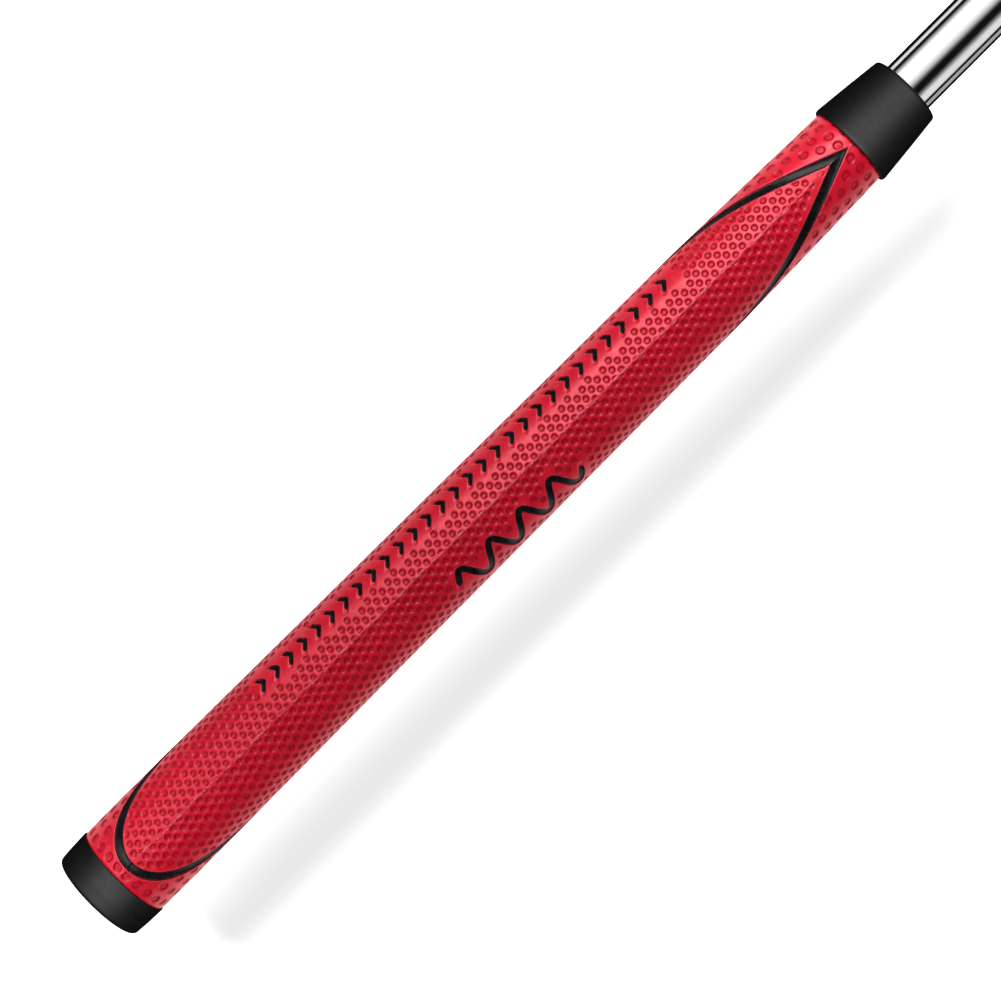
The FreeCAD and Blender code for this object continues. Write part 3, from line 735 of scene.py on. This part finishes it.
def grey_felt():
    """Needled felt with its fibres along the grip."""
    nodes = Nodes("grey_felt")
    fibres = nodes.noise(3.5, detail=8, roughness=0.7, stretch=(0.35, 1, 1))
    base = nodes.ramp(fibres, [(0.35, (0.10, 0.10, 0.11)), (0.65, (0.27, 0.27, 0.28))])
    nodes.feed(base, "Base Color")
    nodes.bump([(fibres, 0.15, 0.8)])
    nodes.set(Roughness=0.95, Sheen_Weight=0.3)
    return nodes.material


def core_foam():
    """Dark foam rubber with small cells."""
    nodes = Nodes("core_foam")
    cells = nodes.add("ShaderNodeTexVoronoi")
    cells.inputs["Scale"].default_value = 1.8 / MM
    where = nodes.add("ShaderNodeTexCoord")
    nodes.link(where.outputs["Object"], cells.inputs["Vector"])
    depth = cells.outputs["Distance"]
    base = nodes.ramp(depth, [(0.1, (0.012, 0.012, 0.013)), (0.6, (0.035, 0.035, 0.037))])
    nodes.feed(base, "Base Color")
    nodes.bump([(depth, 0.2, 0.7)])
    nodes.set(Roughness=0.9)
    return nodes.material


def white_tape():
    """Creped paper tape."""
    nodes = Nodes("white_tape")
    crepe = nodes.noise(1.4, detail=5, stretch=(1, 0.3, 0.3))
    base = nodes.ramp(crepe, [(0.3, (0.62, 0.59, 0.50)), (0.7, (0.78, 0.76, 0.68))])
    nodes.feed(base, "Base Color")
    nodes.bump([(crepe, 0.08, 0.6)])
    nodes.set(Roughness=0.7)
    return nodes.material


MATERIALS = {
    "red_polyurethane": red_polyurethane(),
    "red_seam_sealant": seam_sealant(),
    "black_paint": black_paint(),
    "black_rubber": black_rubber(),
    "chrome_steel": chrome_steel(),
    "grey_felt": grey_felt(),
    "core_foam": core_foam(),
    "white_tape": white_tape(),
}


def finish_piece(piece, slot, *nodes):
    """Rides on the one body and stands for its CAD nodes, which it hides; its slot is not used."""
    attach(piece, "root")
    if nodes:
        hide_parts(*nodes)
    return piece


# ---------------------------------------------------------------- the wrap
def wrap_heights(x, girth):
    """Height of the wrap's surface over its smooth form, with the masks that its material reads: painted
    shade in the pits and a painted highlight beside the grooves.
    """
    pit_height, wall, hollow = pits(x, girth)
    outline = outline_distance(x, girth)
    chevron = path_distance(CHEVRONS, x, girth)
    wave = path_distance([WAVE], x, girth)
    grooves = groove_height(outline, GROOVE_WIDTH, GROOVE_DEPTH)
    grooves += groove_height(chevron, MARK_WIDTH, MARK_DEPTH)
    grooves += groove_height(wave, WAVE_WIDTH, MARK_DEPTH)
    clear = smooth(*(GROOVE_WIDTH / 2 + fade for fade in OUTLINE_FADE), outline)
    clear = clear * smooth(*SEAM_FADE, np.abs(girth))
    # painted highlight: a pale line along the rims beside each groove
    rim = beside(outline, GROOVE_WIDTH, HIGHLIGHT_ASIDE, OUTLINE_HIGHLIGHT_SPREAD)
    for distance, width in ((chevron, MARK_WIDTH), (wave, WAVE_WIDTH)):
        rim = np.maximum(rim, MARK_HIGHLIGHT_SHARE * beside(distance, width, HIGHLIGHT_ASIDE, MARK_HIGHLIGHT_SPREAD))
    ends = smooth(0.0, END_EASE, np.minimum(x - SKIN_START, SKIN_END - x))
    height = pit_height * clear + grooves - END_DROP * (1 - ends) ** 2
    return height, wall * clear, hollow * clear, rim


def make_wrap():
    """The polyurethane sheet as one closed shell: a finely pitted outside and a plain inside."""
    columns = int(round((SKIN_END - SKIN_START) / GRID_STEP)) + 1
    rows = int(round(2 * half_girth(SKIN_START) / GRID_STEP))
    rows += rows % 2
    xs = np.linspace(SKIN_START, SKIN_END, columns)
    shares = np.arange(rows) / rows * 2 - 1
    x, share = np.meshgrid(xs, shares, indexing="ij")
    girth = share * half_girth(x)
    height, *masks = wrap_heights(x, girth)
    outside = surface(x, girth, height)
    inner_xs = np.linspace(SKIN_END, SKIN_START, INNER_COLUMNS)
    inner_x, inner_share = np.meshgrid(inner_xs, shares, indexing="ij")
    inside = surface(inner_x, inner_share * half_girth(inner_x), np.full(inner_x.shape, -SKIN_THICKNESS))
    points = np.concatenate([outside.reshape(-1, 3), inside.reshape(-1, 3)])
    faces = grid_faces(columns + len(inner_xs), rows, closed_rows=True, closed_columns=True)
    piece = outward(new_object("wrap", points, faces, MATERIALS["red_polyurethane"]))
    blank = np.zeros(inner_x.size)
    # the masks carry painted shade in the pits and a painted highlight beside the grooves
    for name, mask in zip(("wall", "hollow", "rim"), masks):
        set_attribute(piece, name, np.concatenate([mask.ravel(), blank]))
    return finish_piece(piece, "red_polyurethane", "outer_skin")


def stroke_grid(path, width, across=13):
    """Points over an open stroke as (x, girth, distance from its middle), narrowed to round ends."""
    ahead = tangents(path)
    run = run_along(path)
    to_end = np.minimum(run, run[-1] - run) / (width / 2)
    narrow = np.sqrt(np.clip(to_end, FILM_END, 1))
    offset = narrow[:, None] * np.linspace(-1, 1, across) * (width / 2 - FILM_MARGIN)
    x = path[:, :1] - ahead[:, 1:] * offset
    girth = path[:, 1:] + ahead[:, :1] * offset
    return x, girth, offset


def outline_grid(side, across=15):
    """Points over one stroke of the outline: curves beside its middle line, each cut off on the seam."""
    ahead = tangents(OUTLINE)
    aside = np.stack([-ahead[:, 1], ahead[:, 0]], 1)
    rows = len(OUTLINE)
    columns = []
    for offset in np.linspace(-1, 1, across) * (GROOVE_WIDTH / 2 - FILM_MARGIN):
        curve = OUTLINE + aside * offset
        above = np.nonzero(curve[:, 1] > 0)[0]
        first, last = above[0], above[-1]
        kept = [curve[first - 1 : first], curve[first : last + 1]] if first > 0 else [curve[: last + 1]]
        curve = np.concatenate(kept)
        if curve[0, 1] < 0:
            share = curve[0, 1] / (curve[0, 1] - curve[1, 1])
            curve[0] += (curve[1] - curve[0]) * share
        curve[-1, 1] = 0.0
        run = run_along(curve)
        at = np.linspace(0, run[-1], rows)
        spots = [np.interp(at, run, curve[:, k]) for k in (0, 1)]
        columns.append(np.stack([*spots, np.full(rows, offset)], 1))
    grid = np.stack(columns, 1)
    return grid[..., 0], side * grid[..., 1], grid[..., 2]


def film(grid, width, depth):
    """A closed paint film that lines a groove over a grid of its points."""
    x, girth, offset = grid
    floor = groove_height(np.abs(offset), width, depth)
    top = surface(x, girth, floor + PAINT_FILM)
    under = surface(x, girth, floor - FILM_ROOT)
    ring = np.concatenate([top, under[:, ::-1]], 1)
    rows, count = ring.shape[:2]
    faces = grid_faces(rows, count, closed_columns=True)
    last = (rows - 1) * count
    across = count // 2
    for start, flip in ((0, False), (last, True)):
        for k in range(across - 1):
            quad = [start + k, start + k + 1, start + count - 2 - k, start + count - 1 - k]
            faces.append(quad[::-1] if flip else quad)
    return ring.reshape(-1, 3), faces


def joined(films):
    """The points and faces of several films as those of one mesh."""
    points = []
    faces = []
    count = 0
    for spots, quads in films:
        points.append(spots)
        faces += [[k + count for k in quad] for quad in quads]
        count += len(spots)
    return np.concatenate(points), faces


def make_paint():
    """A film of paint in each pressed stroke; all the chevrons make one piece."""
    chevrons = [stroke_grid(path, MARK_WIDTH) for path in CHEVRONS]
    strokes = (
        ("outline_stroke_left", "outline_paint_left", [outline_grid(1)], GROOVE_WIDTH, GROOVE_DEPTH),
        ("outline_stroke_right", "outline_paint_right", [outline_grid(-1)], GROOVE_WIDTH, GROOVE_DEPTH),
        ("chevron_marks", "chevron_paint", chevrons, MARK_WIDTH, MARK_DEPTH),
        ("wave_mark", "wave_paint", [stroke_grid(WAVE, WAVE_WIDTH)], WAVE_WIDTH, MARK_DEPTH),
    )
    pieces = []
    for name, node, grids, width, depth in strokes:
        points, faces = joined([film(grid, width, depth) for grid in grids])
        piece = outward(new_object(name, points, faces, MATERIALS["black_paint"]))
        pieces.append(finish_piece(piece, "black_paint", node))
    return pieces


def make_seam():
    """Sealant squeezed out along the closing seam: low, narrow and uneven."""
    rng = np.random.default_rng(SEAM_SEED)
    xs = np.arange(SKIN_START + SEAM_STEP, SKIN_END - SEAM_SHORT, SEAM_STEP)

    def uneven(mean, size, reach, least=-math.inf, most=math.inf):
        """Values along the seam that drift about a mean, each swell some reach of steps long."""
        raw = rng.normal(0, 1, len(xs) + 2 * reach)
        kernel = np.hanning(2 * reach + 1)
        eased = np.convolve(raw, kernel / np.sqrt((kernel**2).sum()), "valid")
        return np.clip(mean + size * eased, least, most)

    half = uneven(mean=0.22, size=0.08, reach=5, least=0.08, most=0.42)
    crown = uneven(mean=0.03, size=0.06, reach=4, least=0.0, most=0.16)
    wander = uneven(mean=0.0, size=0.12, reach=12)
    outline = outline_distance(xs, np.zeros_like(xs))
    groove = groove_height(outline, GROOVE_WIDTH, GROOVE_DEPTH)
    crown = crown * smooth(GROOVE_WIDTH / 2, GROOVE_WIDTH / 2 + SEAM_EASE, outline)
    spread = np.linspace(-1, 1, SEAM_ACROSS)
    x = np.repeat(xs[:, None], len(spread), 1)
    girth = wander[:, None] + half[:, None] * spread[None, :]
    top = surface(x, girth, groove[:, None] + crown[:, None] * (1 - spread**2)[None, :] - SEAM_SUNK)
    under = surface(x, girth, np.repeat(groove[:, None], len(spread), 1) - SEAM_ROOT)
    ring = np.concatenate([top, under[:, ::-1]], 1)
    count = ring.shape[1]
    faces = grid_faces(len(xs), count, closed_columns=True)
    faces.append(list(range(count)))
    faces.append([(len(xs) - 1) * count + k for k in range(count)][::-1])
    piece = outward(new_object("seam_line", ring.reshape(-1, 3), faces, MATERIALS["red_seam_sealant"]))
    return finish_piece(piece, "red_seam_sealant", "seam_bead")


# ---------------------------------------------------------------- rubber ends and shaft
SPIGOT_RADIUS = 9.3
FLAT_EASE = 0.35  # the cap's thumb flat is blended into its round over this height
SHAFT_GAP = 0.02  # between the collar and the shaft at the mouth
TAPE_GAP = 0.27  # between the collar and the shaft where the tape lies


def shaft_radius(x):
    """The shaft narrows evenly from its butt to the grip's mouth."""
    start = shaft_low.x
    return SHAFT_BUTT_RADIUS + (SHAFT_RADIUS - SHAFT_BUTT_RADIUS) * (x - start) / (MOUTH - start)


def make_cap():
    """Moulded butt cap with a lip, spigot, shaft socket and vent hole, flattened under the thumb side."""
    end = cap_high.x
    socket = tape_high.z
    lip_radius = cap_high.y
    corners = [  # x, radius, rounding
        (0.0, VENT_RADIUS, 0.3),
        (0.0, 12.3, 1.1),
        (4.0, 12.6, 8.0),
        (LIP - 0.9, lip_radius - 0.05, 2.0),
        (LIP, lip_radius, 0.3),
        (LIP + 0.05, SPIGOT_RADIUS, 0.2),
        (end, SPIGOT_RADIUS, 0.4),
        (end, socket, 0.2),
        (CAP_FLOOR, socket, 0.2),
        (CAP_FLOOR, VENT_RADIUS, 0.1),
    ]
    outline = subdivided(rounded(corners), CAP_LONGEST)
    piece = lathe("butt_end_cap", outline, MATERIALS["black_rubber"])
    flat = cap_low.z * MM
    ease = FLAT_EASE * MM
    for vertex in piece.data.vertices:
        above = vertex.co.z - flat
        if above < ease:
            vertex.co.z = flat + ease * math.exp((above - ease) / ease)
    return finish_piece(piece, "black_rubber", "butt_cap")


def make_collar():
    """Tapered collar: a flared lip over the wrap's edge and a rounded mouth around the shaft."""
    start = collar_low.x
    lip_radius = collar_high.y
    corners = [  # x, radius, rounding
        (start, lip_radius - 0.15, 0.35),
        (start + 0.8, lip_radius, 0.8),
        (257.8, 10.25, 20.0),
        (MOUTH - 0.3, 9.28, 1.6),
        (MOUTH, 8.3, 1.2),
        (MOUTH, SHAFT_RADIUS + SHAFT_GAP, 0.25),
        (tape_high.x, SHAFT_RADIUS + SHAFT_GAP, 0.1),
        (tape_high.x, shaft_radius(tape_high.x) + TAPE_GAP, 0.1),
        (start, shaft_radius(start) + TAPE_GAP, 0.1),
    ]
    outline = subdivided(rounded(corners), CAP_LONGEST)
    piece = lathe("nose_end_collar", outline, MATERIALS["black_rubber"])
    return finish_piece(piece, "black_rubber", "nose_collar")


def make_shaft():
    """The chromed tube, narrowing to the mouth and then straight to its cut end."""
    start = shaft_low.x
    end = shaft_high.x
    wall = SHAFT_RADIUS - TUBE_BORE_RADIUS
    corners = [  # x, radius, rounding
        (start, SHAFT_BUTT_RADIUS - wall, 0.1),
        (start, SHAFT_BUTT_RADIUS, 0.1),
        (MOUTH, SHAFT_RADIUS, 0.0),
        (end, SHAFT_RADIUS, 0.15),
        (end, TUBE_BORE_RADIUS, 0.15),
        (MOUTH, TUBE_BORE_RADIUS, 0.0),
    ]
    outline = subdivided(rounded(corners, steps=4), SHAFT_LONGEST)
    piece = lathe("shaft_tube", outline, MATERIALS["chrome_steel"])
    return finish_piece(piece, "chrome_steel", "shaft_stub")


def dress_inner_nodes():
    """The pieces inside keep their CAD shape and take their own materials."""
    dresses = {"felt_backing": "grey_felt", "inner_sleeve": "core_foam", "grip_tape": "white_tape"}
    for name, slot in dresses.items():
        mesh = frame["nodes"][name].data
        mesh.materials.clear()
        mesh.materials.append(MATERIALS[slot])


# ---------------------------------------------------------------- stage, lights and camera
AXIS_MIDDLE = 132.7  # the picture's centre, along the shaft axis and beside it
PICTURE_ASIDE = -0.95
CAMERA_FOOT = 155.6  # where the camera stands over the axis
CAMERA_HEIGHT = 720.0
CAMERA_LENS = 111.05
SENSOR_WIDTH = 36.0
FLOOR_DROP = 36.0
FLOOR_GLOW = 0.78
WALL_GLOW = 1.0
STAGE_REACH = 15000.0
STAGE_TONE = (0.08, 0.08, 0.08, 1)
WORLD_GLOW = 0.004
WHITE = (1, 1, 1, 1)

# Each light: name, angles from +Z towards +Y, distance from the axis, span along X, radiance.
WRAP_LIGHTS = (
    ("key", 4, 24, 600, -250, 520, 2.55),
    ("key_towards_mouth", 16, 36, 300, 120, 400, 3.7),
    ("near_card", -118, -86, 75, -40, 290, 1.3),
    ("far_card", 86, 118, 75, -40, 290, 0.2),
    ("near_glow", -150, -104, 30, -10, 260, 1.2),
    ("far_glow", 104, 150, 30, -10, 260, 0.8),
    ("mouth_light", 10, 40, 120, 238, 290, 7.0),
    ("butt_light", -10, 40, 100, -50, 8, 4.5),
)
SKIN_SHEEN = (  # these are seen only by glossy rays
    ("ridge_sheen", 20, 32, 600, 90, 560, 37.0),
    ("far_rim_sheen", 104, 150, 30, -10, 260, 4.5),
)
RUBBER_LIGHTS = (("rubber_softbox", -38, 38, 600, -250, 520, 3.8),)
SHADOW_ANGLE = math.radians(39)  # from +Z towards +Y
SHADOW_SPREAD = math.radians(32)
SHADOW_STRENGTH = 59.0

# What the chrome mirrors: radiance by the angle from +Z towards +Y.
SHAFT_CARDS = (
    (-94, 0.8), (-68, 0.8), (-57, 0.3), (-46, 0.03), (-42, 0.0), (-20, 0.0), (-12, 0.2), (-5, 0.5),
    (0, 0.68), (8, 0.92), (22, 1.3), (62, 1.3), (68, 0.9), (74, 0.5), (82, 0.35), (84, 0.0),
)
CARD_STEP = 6  # degrees that each card fills
CARD_SPAN = (400, -900, 900)  # the cards' distance from the axis, and their start and end along X
SHAFT_LIGHTS = (
    ("shaft_near_glow", -124, -102, 40, 240, 340, 0.4),
    ("shaft_far_glow", 99, 118, 60, 240, 360, 0.8),
)


def make_camera():
    """Above the ridge, rolled so that the shaft axis lies along the picture's diagonal."""
    data = bpy.data.cameras.new("camera")
    data.lens = CAMERA_LENS
    data.sensor_width = SENSOR_WIDTH
    data.clip_start = 0.01
    data.clip_end = 20.0
    camera = bpy.data.objects.new("camera", data)
    bpy.context.scene.collection.objects.link(camera)
    place = Vector((CAMERA_FOOT, 0, CAMERA_HEIGHT))
    target = Vector((AXIS_MIDDLE, PICTURE_ASIDE, 0))
    back = (place - target).normalized()
    upright = Vector((1, 1, 0)).normalized()
    right = upright.cross(back).normalized()
    up = back.cross(right).normalized()
    camera.matrix_world = Matrix.Translation(place * MM) @ Matrix(
        ((right.x, up.x, back.x, 0), (right.y, up.y, back.y, 0), (right.z, up.z, back.z, 0), (0, 0, 0, 1))
    )
    bpy.context.scene.camera = camera


def make_stage():
    """A pale floor and, far behind it, white walls; their own light reaches nothing else."""
    square = ((-1, -1), (1, -1), (1, 1), (-1, 1))
    ring = [(AXIS_MIDDLE + a * STAGE_REACH, b * STAGE_REACH) for a, b in square]
    corners = [(x, y, -FLOOR_DROP) for x, y in ring]
    tops = [(x, y, STAGE_REACH) for x, y in ring]
    pale = Nodes("pale_floor")
    pale.set(Base_Color=STAGE_TONE, Roughness=0.9, Specular_IOR_Level=0.0)
    pale.set(Emission_Color=WHITE, Emission_Strength=FLOOR_GLOW)
    white = Nodes("white_wall")
    white.set(Base_Color=STAGE_TONE, Emission_Color=WHITE, Emission_Strength=WALL_GLOW)
    floor = new_object("floor", corners, [[0, 1, 2, 3]], pale.material, smooth_shading=False)
    sides = [[k, (k + 1) % 4, (k + 1) % 4 + 4, k + 4] for k in range(4)]
    walls = new_object("walls", corners + tops, sides, white.material, smooth_shading=False)
    glow = bpy.data.collections.new("stage_glow")
    for piece in (floor, walls):
        piece.visible_glossy = False
        glow.objects.link(piece)
        piece.light_linking.receiver_collection = glow
    walls.visible_shadow = False
    return floor


def shadow_light(receivers):
    """A wide, distant lamp that reaches the floor alone, for the soft shadow beside the grip."""
    data = bpy.data.lights.new("shadow_light", "SUN")
    data.angle = SHADOW_SPREAD
    data.energy = SHADOW_STRENGTH
    light = bpy.data.objects.new("shadow_light", data)
    bpy.context.scene.collection.objects.link(light)
    light.rotation_euler = (-SHADOW_ANGLE, 0, 0)
    light.light_linking.receiver_collection = receivers


def strip_light(name, low, high, reach, start, end, radiance, receivers):
    """A long softbox over the axis between two angles from +Z towards +Y, from x = start to end."""
    middle = math.radians((low + high) / 2)
    half = math.radians((high - low) / 2)
    back = Vector((0, math.sin(middle), math.cos(middle)))
    place = Vector(((start + end) / 2, 0, 0)) + back * reach
    along = Vector((1, 0, 0))
    across = back.cross(along)
    data = bpy.data.lights.new(name, "AREA")
    data.shape = "RECTANGLE"
    data.size = (end - start) * MM
    data.size_y = 2 * reach * math.tan(half) * MM
    data.energy = radiance * math.pi * data.size * data.size_y
    light = bpy.data.objects.new(name, data)
    bpy.context.scene.collection.objects.link(light)
    light.visible_camera = False
    turn = Matrix((along, across, back)).transposed().to_4x4()
    light.matrix_world = Matrix.Translation(place * MM) @ turn
    light.light_linking.receiver_collection = receivers
    return light


def shaft_cards():
    """Cards side by side around the shaft, each with the radiance of its middle angle."""
    angles, levels = np.array(SHAFT_CARDS).T
    cards = []
    for low in np.arange(angles[0], angles[-1], CARD_STEP):
        level = float(np.interp(low + CARD_STEP / 2, angles, levels))
        if level > 0:
            cards.append((f"shaft_card_{low:.0f}", low, low + CARD_STEP, *CARD_SPAN, level))
    return cards


def receiver_group(name, members):
    """The pieces that a group of lights reaches."""
    group = bpy.data.collections.new(name)
    for member in members:
        group.objects.link(member)
    return group


def make_lights(groups):
    """Every group of lights reaches only its own pieces, as if each were shot by itself."""
    world = bpy.data.worlds.new("studio")
    world.use_nodes = True
    background = world.node_tree.nodes["Background"]
    background.inputs["Color"].default_value = WHITE
    background.inputs["Strength"].default_value = WORLD_GLOW
    bpy.context.scene.world = world
    for name, (lights, members) in groups.items():
        receivers = receiver_group(name, members)
        for light in lights:
            strip_light(*light, receivers)


make_camera()
skin = make_wrap()
seam = make_seam()
paint = make_paint()
rubber = [make_cap(), make_collar()]
shaft = make_shaft()
dress_inner_nodes()
floor = make_stage()
make_lights({
    "wrap_lit": (WRAP_LIGHTS, [skin, seam, *paint]),
    "rubber_lit": (RUBBER_LIGHTS, rubber),
    "shaft_lit": ([*SHAFT_LIGHTS, *shaft_cards()], [shaft]),
})
sheen_group = receiver_group("sheen_lit", [skin, seam])
for sheen in SKIN_SHEEN:
    strip_light(*sheen, sheen_group).visible_diffuse = False
shadow_light(receiver_group("floor_lit", [floor]))
bpy.context.scene.view_settings.view_transform = "Standard"
